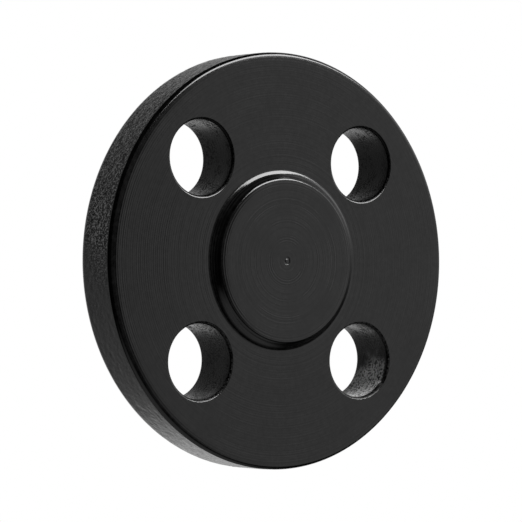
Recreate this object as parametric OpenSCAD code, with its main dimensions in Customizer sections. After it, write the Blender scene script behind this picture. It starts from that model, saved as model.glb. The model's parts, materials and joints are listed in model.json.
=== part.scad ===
// Blind flange with a raised face: one forged and turned steel disc that bolts
// over the end of a pipe and closes it.
//
// Frame: millimetres. The origin is the centre of the raised sealing face. The
// flange axis lies along Y, the sealing face looks along -Y, and +Z is up. The
// bolt holes straddle the vertical centre line, two above and two below.

/* [Plate] */
// Outside diameter of the flange
flange_diameter = 88.9; // [84:0.1:100]
// Thickness of the plate, without the raised face
plate_thickness = 11; // [8:0.1:16]
// Rounding of the outer edge on the sealing side
front_edge_radius = 1; // [0.5:0.1:2]
// Rounding of the outer edge on the back
back_edge_radius = 1.6; // [0.5:0.1:3]

/* [Raised face] */
// Nominal diameter of the raised face, to the edge before it is rounded
raised_face_diameter = 35.1; // [30:0.1:36]
// Height of the raised face above the plate
raised_face_height = 1.6; // [1:0.1:2]
// Rounding of the edge of the raised face
raised_edge_radius = 0.7; // [0.6:0.1:1.2]
// Fillet where the side of the raised face runs out into the plate
root_fillet_radius = 2; // [1.5:0.1:2.2]

/* [Bolt holes] */
// Number of bolt holes
bolt_hole_count = 4; // [4:4:8]
// Diameter of the circle through the bolt hole centres
bolt_circle_diameter = 60.3; // [58:0.1:64]
// Diameter of each bolt hole
bolt_hole_diameter = 15.9; // [12:0.1:16.5]
// Rounding of the bolt hole edges, on both sides of the plate
hole_edge_radius = 0.6; // [0.2:0.1:1]

/* [Hidden] */
$fn = 144;

black_finish = [0.17, 0.17, 0.17];
// Cutters run this far past the faces that they cut
cut_margin = 1;

flange_radius = flange_diameter / 2;
// Heights below the sealing face
plate_front = -raised_face_height;
plate_back = plate_front - plate_thickness;

// The rounded edge and the root fillet meet each other at this slope
side_angle = acos(1 - raised_face_height / (raised_edge_radius + root_fillet_radius));
sealing_radius = raised_face_diameter / 2 - raised_edge_radius * tan(side_angle / 2);
root_radius = sealing_radius + (raised_edge_radius + root_fillet_radius) * sin(side_angle);
meeting_point = [
    sealing_radius + raised_edge_radius * sin(side_angle),
    -raised_edge_radius * (1 - cos(side_angle))
];

hole_radius = bolt_hole_diameter / 2;
hole_pitch = 360 / bolt_hole_count;

flange_disc();

// The whole flange, forged and turned from one piece of steel
module flange_disc() {
    color(black_finish)
        rotate([90, 0, 0])
            difference() {
                rotate_extrude() disc_profile();
                bolt_hole_cutters();
            }
}

// Half section of the disc, with the radius along X and the flange axis along Y
module disc_profile() {
    difference() {
        union() {
            disc_outline();
            translate([sealing_radius, -raised_edge_radius]) circle(r = raised_edge_radius);
        }
        translate([root_radius, plate_front + root_fillet_radius]) circle(r = root_fillet_radius);
        translate([flange_radius, plate_front]) corner_cut(front_edge_radius);
        translate([flange_radius, plate_back]) mirror([0, 1]) corner_cut(back_edge_radius);
    }
}

// The outline before its corners are rounded: the plate, then up the side of the
// raised face and across it
module disc_outline() {
    polygon([
        [0, plate_back],
        [flange_radius, plate_back],
        [flange_radius, plate_front],
        [root_radius, plate_front],
        meeting_point,
        [sealing_radius, -raised_edge_radius],
        [sealing_radius, 0],
        [0, 0]
    ]);
}

// What comes off a square corner at the origin to leave it rounded
module corner_cut(radius) {
    translate([-radius, -radius])
        difference() {
            square(radius + cut_margin);
            circle(r = radius);
        }
}

// One cutter for each bolt hole, placed so that the holes straddle the vertical
module bolt_hole_cutters() {
    for (i = [0 : bolt_hole_count - 1])
        rotate(hole_pitch * (i + 1 / 2))
            translate([bolt_circle_diameter / 2, 0, 0])
                rotate_extrude() bolt_hole_profile();
}

// Half section of a bolt hole, flared at both ends by its rounded edges
module bolt_hole_profile() {
    translate([0, plate_back - cut_margin])
        square([hole_radius, plate_thickness + 2 * cut_margin]);
    translate([hole_radius, plate_front - hole_edge_radius]) edge_flare();
    translate([hole_radius, plate_back + hole_edge_radius]) mirror([0, 1]) edge_flare();
}

// The flare that rounds the edge of a hole, drawn from where the straight bore ends
module edge_flare() {
    difference() {
        square([hole_edge_radius, hole_edge_radius + cut_margin]);
        translate([hole_edge_radius, 0]) circle(r = hole_edge_radius);
    }
}
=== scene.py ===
import json
from math import acos, cos, hypot, pi, radians, sin, tan
from random import Random

import bpy
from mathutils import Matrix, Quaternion, Vector


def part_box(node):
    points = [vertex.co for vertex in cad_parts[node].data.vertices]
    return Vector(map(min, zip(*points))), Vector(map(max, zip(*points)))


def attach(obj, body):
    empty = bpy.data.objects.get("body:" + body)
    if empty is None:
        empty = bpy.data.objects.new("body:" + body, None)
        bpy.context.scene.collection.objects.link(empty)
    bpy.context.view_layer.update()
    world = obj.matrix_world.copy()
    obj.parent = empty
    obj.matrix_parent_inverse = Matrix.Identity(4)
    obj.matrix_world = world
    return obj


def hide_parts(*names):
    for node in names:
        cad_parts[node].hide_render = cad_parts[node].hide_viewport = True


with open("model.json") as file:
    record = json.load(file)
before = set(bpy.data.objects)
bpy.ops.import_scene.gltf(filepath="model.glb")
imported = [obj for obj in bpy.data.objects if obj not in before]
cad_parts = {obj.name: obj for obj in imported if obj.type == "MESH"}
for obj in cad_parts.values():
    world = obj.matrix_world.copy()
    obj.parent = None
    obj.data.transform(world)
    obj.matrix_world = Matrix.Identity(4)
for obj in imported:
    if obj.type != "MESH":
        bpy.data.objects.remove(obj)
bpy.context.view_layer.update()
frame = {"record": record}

# The disc: a slug of carbon steel, forged hot to a thick plate and then faced
# in a lathe. The plate front, the raised sealing face with its rounded edge
# and root fillet, both outer edges and the back all come from this turning.
disc_low, disc_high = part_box("flange_disc")
outside_r = disc_high.x
back_depth = disc_high.y
plate_depth = 0.0016
raised_nominal_r = 0.0351 / 2
raised_edge = 0.0007
root_fillet = 0.0020
front_edge = 0.00085
back_edge = 0.0016
lathe_steps = 720

# Deburring leaves each front face falling away a little before its edge.
edge_fall = radians(5)
fall_steps = 5
raised_fall_width = 0.0016
plate_fall_width = 0.0015
raised_sink = raised_fall_width * tan(edge_fall / 2) - raised_edge * (1 - cos(edge_fall))
plate_sink = plate_fall_width * tan(edge_fall / 2) - front_edge * (1 - cos(edge_fall))

side_slope = acos(1 - (plate_depth - raised_sink) / (raised_edge + root_fillet))
sealing_r = raised_nominal_r - raised_edge * tan(side_slope / 2)
root_r = sealing_r + (raised_edge + root_fillet) * sin(side_slope)


def arc(middle, radius, start, stop, steps):
    """Points (distance from the axis, depth) round part of a circle, with 0 at its front."""
    turns = [start + (stop - start) * i / steps for i in range(steps + 1)]
    return [(middle[0] + radius * sin(t), middle[1] - radius * cos(t)) for t in turns]


def straight(first, last, steps):
    """The points between two ends of a straight stretch, without the ends."""
    parts = [i / steps for i in range(1, steps)]
    return [tuple(a + (b - a) * t for a, b in zip(first, last)) for t in parts]


def fall_away(tight_start_r, depth, width):
    """The wide, shallow arc by which a flat face falls away to meet its tight edge round."""
    radius = width / sin(edge_fall)
    return arc((tight_start_r - width, depth + radius), radius, 0, edge_fall, fall_steps)


seam_gap = 1e-6


def lathe(name, section, steps, axis_x=0.0, axis_z=0.0):
    """Draws a half section out from its first point and spins it round an axis along Y."""
    bpy.ops.object.select_all(action="DESELECT")
    start = (axis_x + section[0][0], section[0][1], axis_z)
    bpy.ops.mesh.primitive_plane_add(size=0.001, location=start)
    piece = bpy.context.object
    piece.name = name
    bpy.ops.object.mode_set(mode="EDIT")
    bpy.ops.mesh.merge(type="CENTER")
    for (r0, y0), (r1, y1) in zip(section, section[1:]):
        bpy.ops.mesh.extrude_vertices_move(
            TRANSFORM_OT_translate={"value": (r1 - r0, y1 - y0, 0)}
        )
    bpy.ops.mesh.select_all(action="SELECT")
    bpy.ops.mesh.spin(
        steps=steps, angle=2 * pi, center=(axis_x, 0, axis_z), axis=(0, 1, 0)
    )
    bpy.ops.mesh.select_all(action="SELECT")
    bpy.ops.mesh.remove_doubles(threshold=seam_gap)
    bpy.ops.mesh.normals_make_consistent(inside=False)
    bpy.ops.object.mode_set(mode="OBJECT")
    bpy.ops.object.transform_apply(location=True, rotation=True, scale=True)
    return piece


# The facing tool leaves a small nib with a ring groove round it at the very centre.
nib_r = 0.00032
nib_groove_r = 0.00056
nib_groove_depth = 0.00008
nib_land_r = 0.00085
land_end_r = nib_land_r * 1.25

# How many stretches each curve and each flat of the half section is drawn in.
sealing_steps = 5
edge_steps = 10
fillet_steps = 12
rim_steps = 24
back_edge_steps = 9
plain_steps = 6

nib = [(0, 0), (nib_r, 0), (nib_groove_r, nib_groove_depth), (nib_land_r, 0)]
raised_middle = (sealing_r, raised_edge + raised_sink)
raised_round = arc(raised_middle, raised_edge, edge_fall, side_slope, edge_steps)
raised_fall = fall_away(raised_round[0][0], 0, raised_fall_width)
sealing_flat = nib + [(land_end_r, 0)]
sealing_flat += straight(sealing_flat[-1], raised_fall[0], sealing_steps) + raised_fall[:-1]
fillet_middle = (root_r, plate_depth - root_fillet)
fillet_round = arc(fillet_middle, root_fillet, pi + side_slope, pi, fillet_steps)[1:]
front_middle = (outside_r - front_edge, plate_depth + front_edge + plate_sink)
front_round = arc(front_middle, front_edge, edge_fall, pi / 2, edge_steps)
plate_fall = fall_away(front_round[0][0], plate_depth, plate_fall_width)
plate_flat = straight(fillet_round[-1], plate_fall[0], plain_steps) + plate_fall[:-1]
back_middle = (outside_r - back_edge, back_depth - back_edge)
back_round = arc(back_middle, back_edge, pi / 2, pi, back_edge_steps)
rim_band = straight(front_round[-1], back_round[0], rim_steps)
back_flat = straight(back_round[-1], (0, back_depth), plain_steps) + [(0, back_depth)]

disc_section = sealing_flat + raised_round + fillet_round + plate_flat
disc_section += front_round + rim_band + back_round + back_flat
disc = lathe("flange_body", disc_section, lathe_steps)

# The bolt holes: drilled straight through the plate on the bolt circle, two
# above and two below the middle, with a small rounding on both edges of each.
bolt_circle = next(m for m in frame["record"]["mounts"] if m["name"] == "bolt_circle")
hole_count = bolt_circle["dims"]["count"]
hole_r = bolt_circle["dims"]["hole_r_mm"] / 1000
hole_ring_r = bolt_circle["dims"]["pcd_mm"] / 2000
hole_edge = 0.0006
drill_run_out = 0.001
drill_steps = 240
flare_steps = 7

# The rounding stops just short of flat, so that the drill leaves the plate at a clean corner.
near_flat = radians(4)
front_lip = (hole_r + hole_edge, plate_depth + hole_edge)
back_lip = (hole_r + hole_edge, back_depth - hole_edge)
front_flare = arc(front_lip, hole_edge, -near_flat, -pi / 2, flare_steps)
back_flare = arc(back_lip, hole_edge, -pi / 2, near_flat - pi, flare_steps)
front_end = (front_flare[0][0], plate_depth - drill_run_out)
back_end = (back_flare[-1][0], back_depth + drill_run_out)
drill_section = [(0, front_end[1]), front_end] + front_flare
drill_section += straight(front_flare[-1], back_flare[0], plain_steps) + back_flare
drill_section += [back_end, (0, back_end[1])]

hole_turns = [2 * pi * (i + 0.5) / hole_count for i in range(hole_count)]
hole_middles = [(hole_ring_r * cos(t), hole_ring_r * sin(t)) for t in hole_turns]
drills = [lathe("drill", drill_section, drill_steps, x, z) for x, z in hole_middles]

for drill in drills:
    bpy.ops.object.select_all(action="DESELECT")
    bpy.context.view_layer.objects.active = disc
    disc.select_set(True)
    cut = disc.modifiers.new("bolt_hole", "BOOLEAN")
    cut.object = drill
    cut.solver = "EXACT"
    bpy.ops.object.modifier_apply(modifier=cut.name)
    bpy.data.objects.remove(drill)

# The cuts leave points a hair apart on their edges, which are welded, and here
# and there an open sliver, which is filled.
weld_gap = 4e-6
sliver_sides = 4
bpy.ops.object.mode_set(mode="EDIT")
bpy.ops.mesh.select_all(action="SELECT")
bpy.ops.mesh.remove_doubles(threshold=weld_gap)
bpy.ops.mesh.dissolve_degenerate(threshold=weld_gap)
bpy.ops.mesh.select_mode(type="VERT")
bpy.ops.mesh.select_all(action="DESELECT")
bpy.ops.mesh.select_non_manifold()
bpy.ops.mesh.fill_holes(sides=sliver_sides)
bpy.ops.object.mode_set(mode="OBJECT")

# The rim: left as it was forged, so its skin is rough. Shallow dents from the
# dies and loose scale come first, then a fine grain over the whole band.
dent_depth = 0.00004
dent_reach = 0.0009
dent_share = 0.02
dent_seed = 11
grain_depth = 0.00004
grain_seed = 5

# The band that counts as rim keeps just clear of both outer edges.
rim_skin = 0.0007
rim_front = front_middle[1] * 1.02
rim_back = back_depth - back_edge * 0.95
rim_inner_r = outside_r - rim_skin


def pick(piece, test):
    """Opens the piece for editing with only the vertices that pass the test selected."""
    bpy.ops.object.mode_set(mode="EDIT")
    bpy.ops.mesh.select_mode(type="VERT")
    bpy.ops.mesh.select_all(action="DESELECT")
    bpy.ops.object.mode_set(mode="OBJECT")
    for point in piece.data.vertices:
        point.select = test(point.co)
    bpy.ops.object.mode_set(mode="EDIT")


def on_rim(place):
    """True inside the forged band."""
    return rim_front < place.y < rim_back and hypot(place.x, place.z) > rim_inner_r


dice = Random(dent_seed)
pick(disc, lambda place: on_rim(place) and dice.random() < dent_share)
bpy.ops.transform.shrink_fatten(
    value=-dent_depth,
    use_proportional_edit=True,
    proportional_edit_falloff="SMOOTH",
    proportional_size=dent_reach,
)
bpy.ops.object.mode_set(mode="OBJECT")
pick(disc, on_rim)
bpy.ops.transform.vertex_random(offset=grain_depth, uniform=0, normal=1, seed=grain_seed)
bpy.ops.object.mode_set(mode="OBJECT")

# A small knock on the front edge of the lower right hole, low on its right
# side: two strokes dent its rounding, the second one deeper in the middle.
lower_right_x = hole_ring_r * cos(-pi / 4)
lower_right_z = hole_ring_r * sin(-pi / 4)
knock_turn = radians(-33)
knock_depth = 0.00020
knock_reach = 0.0011
second_reach = knock_reach * 0.6
knock_inset = hole_edge * 0.3
face_clear = hole_edge * 0.02
knock_middle = Vector((
    lower_right_x + (hole_r + knock_inset) * cos(knock_turn),
    plate_depth + knock_inset,
    lower_right_z + (hole_r + knock_inset) * sin(knock_turn),
))


def on_knock(place, reach):
    """True on the hole's rounding within reach of the knock, but not on the flat face."""
    return place.y > plate_depth + face_clear and (place - knock_middle).length < reach


for reach in (knock_reach, second_reach):
    pick(disc, lambda place: on_knock(place, reach))
    bpy.ops.transform.shrink_fatten(value=-knock_depth)
    bpy.ops.object.mode_set(mode="OBJECT")

# Rounded parts are shaded smooth. Level faces are shaded flat, because the long
# thin triangles round the holes would otherwise catch the light.
sharp_above = radians(38)
bpy.ops.object.shade_smooth_by_angle(angle=sharp_above)
level_enough = cos(radians(0.25))
bpy.ops.object.mode_set(mode="EDIT")
bpy.ops.mesh.select_mode(type="FACE")
bpy.ops.mesh.select_all(action="DESELECT")
bpy.ops.object.mode_set(mode="OBJECT")
for face in disc.data.polygons:
    face.select = abs(face.normal.y) > level_enough
bpy.ops.object.mode_set(mode="EDIT")
bpy.ops.mesh.faces_shade_flat()
bpy.ops.object.mode_set(mode="OBJECT")

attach(disc, "root")
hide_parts("flange_disc")


# The finish: the whole flange is dipped in a thin satin black coat after
# machining. The coat hides the colour of the steel but not the marks under it.
class Signal:
    """One output in a node tree. Sums written on it become Math nodes."""

    def __init__(self, tree, socket=None):
        self.tree = tree
        self.socket = socket

    def node(self, kind, settings, values, output=0):
        """Adds a node, sets it up, then fills or links its sockets."""
        made = self.tree.nodes.new(kind)
        for name, setting in settings.items():
            setattr(made, name, setting)
        for name, value in values.items():
            if isinstance(value, Signal):
                self.tree.links.new(value.socket, made.inputs[name])
            else:
                made.inputs[name].default_value = value
        return Signal(self.tree, made.outputs[output])

    def sum_of(self, operation, *terms):
        """One Math node on the terms, in their order."""
        values = dict(enumerate(terms))
        return self.node("ShaderNodeMath", {"operation": operation}, values)

    def __add__(self, other):
        return self.sum_of("ADD", self, other)

    def __rsub__(self, other):
        return self.sum_of("SUBTRACT", other, self)

    def __mul__(self, other):
        return self.sum_of("MULTIPLY", self, other)

    def between(self, low, high):
        """0 at low, 1 at high, eased at both ends."""
        settings = {"interpolation_type": "SMOOTHSTEP"}
        values = {"Value": self, "From Min": low, "From Max": high}
        return self.node("ShaderNodeMapRange", settings, values)


coat_ior = 1.5
coat_black = 0.001


def new_finish(name):
    """A blank material: its signal bench, its shader node and the place on the object."""
    made = bpy.data.materials.new(name)
    made.use_nodes = True
    shader = made.node_tree.nodes["Principled BSDF"]
    shader.inputs["IOR"].default_value = coat_ior
    bench = Signal(made.node_tree)
    place = bench.node("ShaderNodeTexCoord", {}, {}, "Object")
    return made, bench, shader, place


def plug(bench, shader, name, signal):
    """Links a signal into one of the shader's own sockets."""
    bench.tree.links.new(signal.socket, shader.inputs[name])


def grey(bench, level):
    """A colour of equal parts from one level."""
    return bench.node("ShaderNodeCombineColor", {}, {0: level, 1: level, 2: level})


def noise(bench, place, scale, detail=3.0):
    """Soft uneven noise from 0 to 1, with about scale lumps to a metre."""
    values = {"Vector": place, "Scale": scale, "Detail": detail}
    return bench.node("ShaderNodeTexNoise", {}, values)


def radius_of(bench, place):
    """Distance from the flange axis."""
    flat = bench.node(
        "ShaderNodeVectorMath", {"operation": "MULTIPLY"}, {0: place, 1: (1, 0, 1)}
    )
    return bench.node("ShaderNodeVectorMath", {"operation": "LENGTH"}, {0: flat}, "Value")


# Turned faces: the tool's feed leaves fine rings round the axis, not all of one
# depth, and the coat lies a little thicker in some places than others. The rings
# are also painted paler into the colour, strongest near the axis: a painted sheen
# for the light that the fine rings catch.
feed_pitch = 0.00052
feed_depth = 0.0000045
uneven_feed = 3200.0
coat_patches = 130.0
coat_mottle = 1100.0
strong_rings_r = 0.014
faint_rings_r = 0.030
turned, bench, shader, place = new_finish("turned_face_black")
from_axis = radius_of(bench, place)
rings = from_axis * (2 * pi / feed_pitch)
ripple = bench.sum_of("SINE", rings)
ring_noise = bench.node(
    "ShaderNodeTexNoise",
    {"noise_dimensions": "1D"},
    {"W": from_axis, "Scale": uneven_feed, "Detail": 2.0},
)
patches = noise(bench, place, coat_patches)
mottle = noise(bench, place, coat_mottle, 4.0)
marks = (ripple * 0.5 + ring_noise * 1.6) * (patches * 0.9 + 0.3)
coat = patches.between(0.25, 0.62) * 0.7 + 0.3
# Painted sheen: the rings are painted paler into the colour for the light they catch.
painted_ring_sheen = coat * (ripple * 0.25 + ring_noise.between(0.40, 0.64) * 0.75)
inward = 1 - from_axis.between(strong_rings_r, faint_rings_r)
painted_ring_sheen = painted_ring_sheen * (inward * 0.008 + 0.009)
mottled = mottle.between(0.36, 0.66) * 0.0035
plug(bench, shader, "Base Color", grey(bench, painted_ring_sheen + mottled))
plug(bench, shader, "Roughness", patches * 0.02 + mottle * 0.03 + 0.10)
bump = bench.node("ShaderNodeBump", {}, {"Distance": feed_depth, "Height": marks})
plug(bench, shader, "Normal", bump)

# Forged rim: a granular skin, duller than the turned faces. Where the scale
# broke off, on the upper left, bright and dark grains of bare metal show.
rim_grain = 0.00006
scale_lumps = 900.0
scale_grains = 2700.0
scale_breaks = 60.0
whole_below = 0.003
broken_above = 0.022
rim_gloss = 0.37
forged, bench, shader, place = new_finish("forged_rim_black")
height_up = bench.node("ShaderNodeSeparateXYZ", {}, {"Vector": place}, "Z")
lumps = noise(bench, place, scale_lumps, 2.0)
grains = noise(bench, place, scale_grains, 2.0)
breaks = noise(bench, place, scale_breaks, 2.0)
broken = (breaks * 0.03 + height_up).between(whole_below, broken_above)
shine = grains.between(0.46, 0.66) * 0.19
plug(bench, shader, "Base Color", grey(bench, broken * shine + lumps * 0.004 + coat_black))
plug(bench, shader, "Metallic", broken)
plug(bench, shader, "Roughness", lumps * 0.16 + 0.22)
height = (lumps * 0.5 + grains) * (broken * 0.8 + 0.35)
bump = bench.node("ShaderNodeBump", {}, {"Distance": rim_grain, "Height": height})
plug(bench, shader, "Normal", bump)
shader.inputs["Specular IOR Level"].default_value = rim_gloss

# Drilled walls: drill rings round each bore, pits in the coat, and pale flecks,
# stronger towards the bottom, so that the lower holes come out paler. Low in the
# lower right hole, past its rounding, the coat is worn through in one patch.
drill_pitch = 0.00033
drill_mark = 0.00001
wall_pits = 2200.0
wall_patches = 330.0
worn_x = lower_right_x + hole_r * 0.7
worn_z = lower_right_z - hole_r * 0.9
worn_depth = 0.006
worn_inner = 0.0070
worn_outer = 0.0125
worn_shade = 0.95
low_fleck_reach = 0.03
low_fleck_shade = 0.034
wall_gloss = 0.15
drilled, bench, shader, place = new_finish("drilled_wall_black")
depth = bench.node("ShaderNodeSeparateXYZ", {}, {"Vector": place}, "Y")
ripple = bench.sum_of("SINE", depth * (2 * pi / drill_pitch))
pits = noise(bench, place, wall_pits, 3.0)
patches = noise(bench, place, wall_patches, 2.0)
worn_middle = (worn_x, worn_depth, worn_z)
to_worn = bench.node(
    "ShaderNodeVectorMath", {"operation": "DISTANCE"}, {0: place, 1: worn_middle}, "Value"
)
worn = 1 - (to_worn + patches * 0.006).between(worn_inner, worn_outer)
inside = depth.between(plate_depth + hole_edge * 1.2, plate_depth + hole_edge * 2)
thin = worn * inside * pits.between(0.36, 0.56)
height_up = bench.node("ShaderNodeSeparateXYZ", {}, {"Vector": place}, "Z")
# Pale flecks, stronger towards the bottom of the flange.
low_flecks = (1 - height_up.between(-low_fleck_reach, low_fleck_reach)) * pits.between(0.4, 0.65)
plug(bench, shader, "Base Color", grey(bench, thin * worn_shade + low_flecks * low_fleck_shade + coat_black))
dull = pits.between(0.42, 0.60) * patches.between(0.3, 0.6)
plug(bench, shader, "Roughness", dull * 0.4 + worn * 0.2 + 0.2)
height = ripple * 0.3 + pits * 4.0
bump = bench.node("ShaderNodeBump", {}, {"Distance": drill_mark, "Height": height})
plug(bench, shader, "Normal", bump)
shader.inputs["Specular IOR Level"].default_value = wall_gloss

# Which face takes which finish. The rounded edges of the holes go with their
# walls, and both outer edges go with the turned faces.
face_skin = 0.00002


def in_hole(place):
    """True on the wall or the rounded edges of a bolt hole."""
    near = min(hypot(place.x - x, place.z - z) for x, z in hole_middles)
    between_faces = plate_depth + face_skin < place.y < back_depth - face_skin
    return between_faces and near < hole_r + hole_edge


finishes = (turned, forged, drilled)
for finish in finishes:
    disc.data.materials.append(finish)
for face in disc.data.polygons:
    if on_rim(face.center):
        face.material_index = finishes.index(forged)
    elif in_hole(face.center):
        face.material_index = finishes.index(drilled)

# The floor: a plain pale sheet under the rim. It glows evenly, so that it is
# as pale as the backdrop and takes no shadow.
floor_size = 30.0
bpy.ops.object.select_all(action="DESELECT")
bpy.ops.mesh.primitive_plane_add(size=floor_size, location=(0, 0, disc_low.z))
floor = bpy.context.object
floor.name = "floor"
pale = bpy.data.materials.new("pale_floor")
pale.use_nodes = True
floor_bench = Signal(pale.node_tree)
glow = floor_bench.node("ShaderNodeEmission", {}, {"Color": (1, 1, 1, 1), "Strength": 1.0})
pale.node_tree.links.new(
    glow.socket, pale.node_tree.nodes["Material Output"].inputs["Surface"]
)
floor.data.materials.append(pale)
floor.visible_diffuse = False
floor.visible_glossy = False
floor.visible_shadow = False

# The studio dome: a pale backdrop and table behind the flange, two grey cards
# to the right with a paler one and a small spill of light above them, a faint
# glow from the table below, and near dark everywhere else.
world = bpy.data.worlds.new("studio")
bpy.context.scene.world = world
world.use_nodes = True
dome = Signal(world.node_tree)
looking = dome.node("ShaderNodeTexCoord", {}, {}, "Generated")


def way_out(turn, lift):
    """The way out from the middle, turned from -Y towards +X and lifted, both in degrees."""
    flat = cos(radians(lift))
    return Vector((sin(radians(turn)) * flat, -cos(radians(turn)) * flat, sin(radians(lift))))


def card(turn, lift, inner, outer, strength):
    """A round patch on the dome, even as far as the inner angle and gone at the outer one."""
    middle = way_out(turn, lift)
    facing = dome.node(
        "ShaderNodeVectorMath", {"operation": "DOT_PRODUCT"}, {0: looking, 1: middle}, "Value"
    )
    return facing.between(cos(radians(outer)), cos(radians(inner))) * strength


far_wall = card(turn=142.5, lift=0, inner=15, outer=50, strength=0.58)
side_wall = card(turn=190, lift=-5, inner=30, outer=58, strength=0.45)
backdrop = far_wall + side_wall
back_table = card(turn=150, lift=-36, inner=8, outer=25, strength=0.60)
large_card = card(turn=50.5, lift=-5, inner=16, outer=22.5, strength=0.585)
small_card = card(turn=44, lift=8, inner=10, outer=13.5, strength=0.63)
right_cards = dome.sum_of("MAXIMUM", large_card, small_card)
upper_card = card(turn=88, lift=27, inner=10, outer=38, strength=0.60)
soft_spill = card(turn=62, lift=18, inner=3, outer=16, strength=1.6)
table_glow = card(turn=-35, lift=-72, inner=24, outer=52, strength=0.40)
dark_corners = 0.004
dome_light = backdrop + back_table + right_cards + upper_card + soft_spill + table_glow + dark_corners

# The camera sees the dome as plain white. Only the flange sees the cards on it.
seen = dome.node("ShaderNodeLightPath", {}, {}, "Is Camera Ray")
dome_level = seen + (1 - seen) * dome_light
background = world.node_tree.nodes["Background"]
world.node_tree.links.new(grey(dome, dome_level).socket, background.inputs["Color"])

# The lamp: one large square soft box above and in front, to the right, which
# faces the middle of the flange.
lamp_turn = 37
lamp_lift = 33.0
lamp_distance = 1.0
lamp_size = 0.54
lamp_power = 12.0

lamp_spot = way_out(lamp_turn, lamp_lift) * lamp_distance
bpy.ops.object.light_add(type="AREA", location=lamp_spot)
lamp = bpy.context.object
lamp.name = "top_soft_box"
lamp.rotation_euler = (-lamp_spot).to_track_quat("-Z", "Y").to_euler()
lamp.data.size = lamp_size
lamp.data.energy = lamp_power

# The camera: a long lens well to the left of the flange's own axis, close to
# level with its middle, and aimed just left of it.
camera_turn = -37.51
camera_lift = -0.86
camera_roll = radians(0.41)
camera_distance = 0.6155
lens_length = 199.3
aim_left = 0.00455
aim_down = 0.00006
nearest_seen = 0.01

away = way_out(camera_turn, camera_lift)
rightward = Vector((0, 0, 1)).cross(away).normalized()
plate_middle = Vector((0, plate_depth, 0))
camera_spot = plate_middle + away * camera_distance
aim = plate_middle - rightward * aim_left - Vector((0, 0, aim_down))
bpy.ops.object.camera_add(location=camera_spot)
camera = bpy.context.object
camera.rotation_mode = "QUATERNION"
looking_along = (aim - camera_spot).to_track_quat("-Z", "Y")
camera.rotation_quaternion = looking_along @ Quaternion((0, 0, 1), camera_roll)
camera.data.lens = lens_length
camera.data.clip_start = nearest_seen
bpy.context.scene.camera = camera
bpy.context.scene.view_settings.view_transform = "Standard"
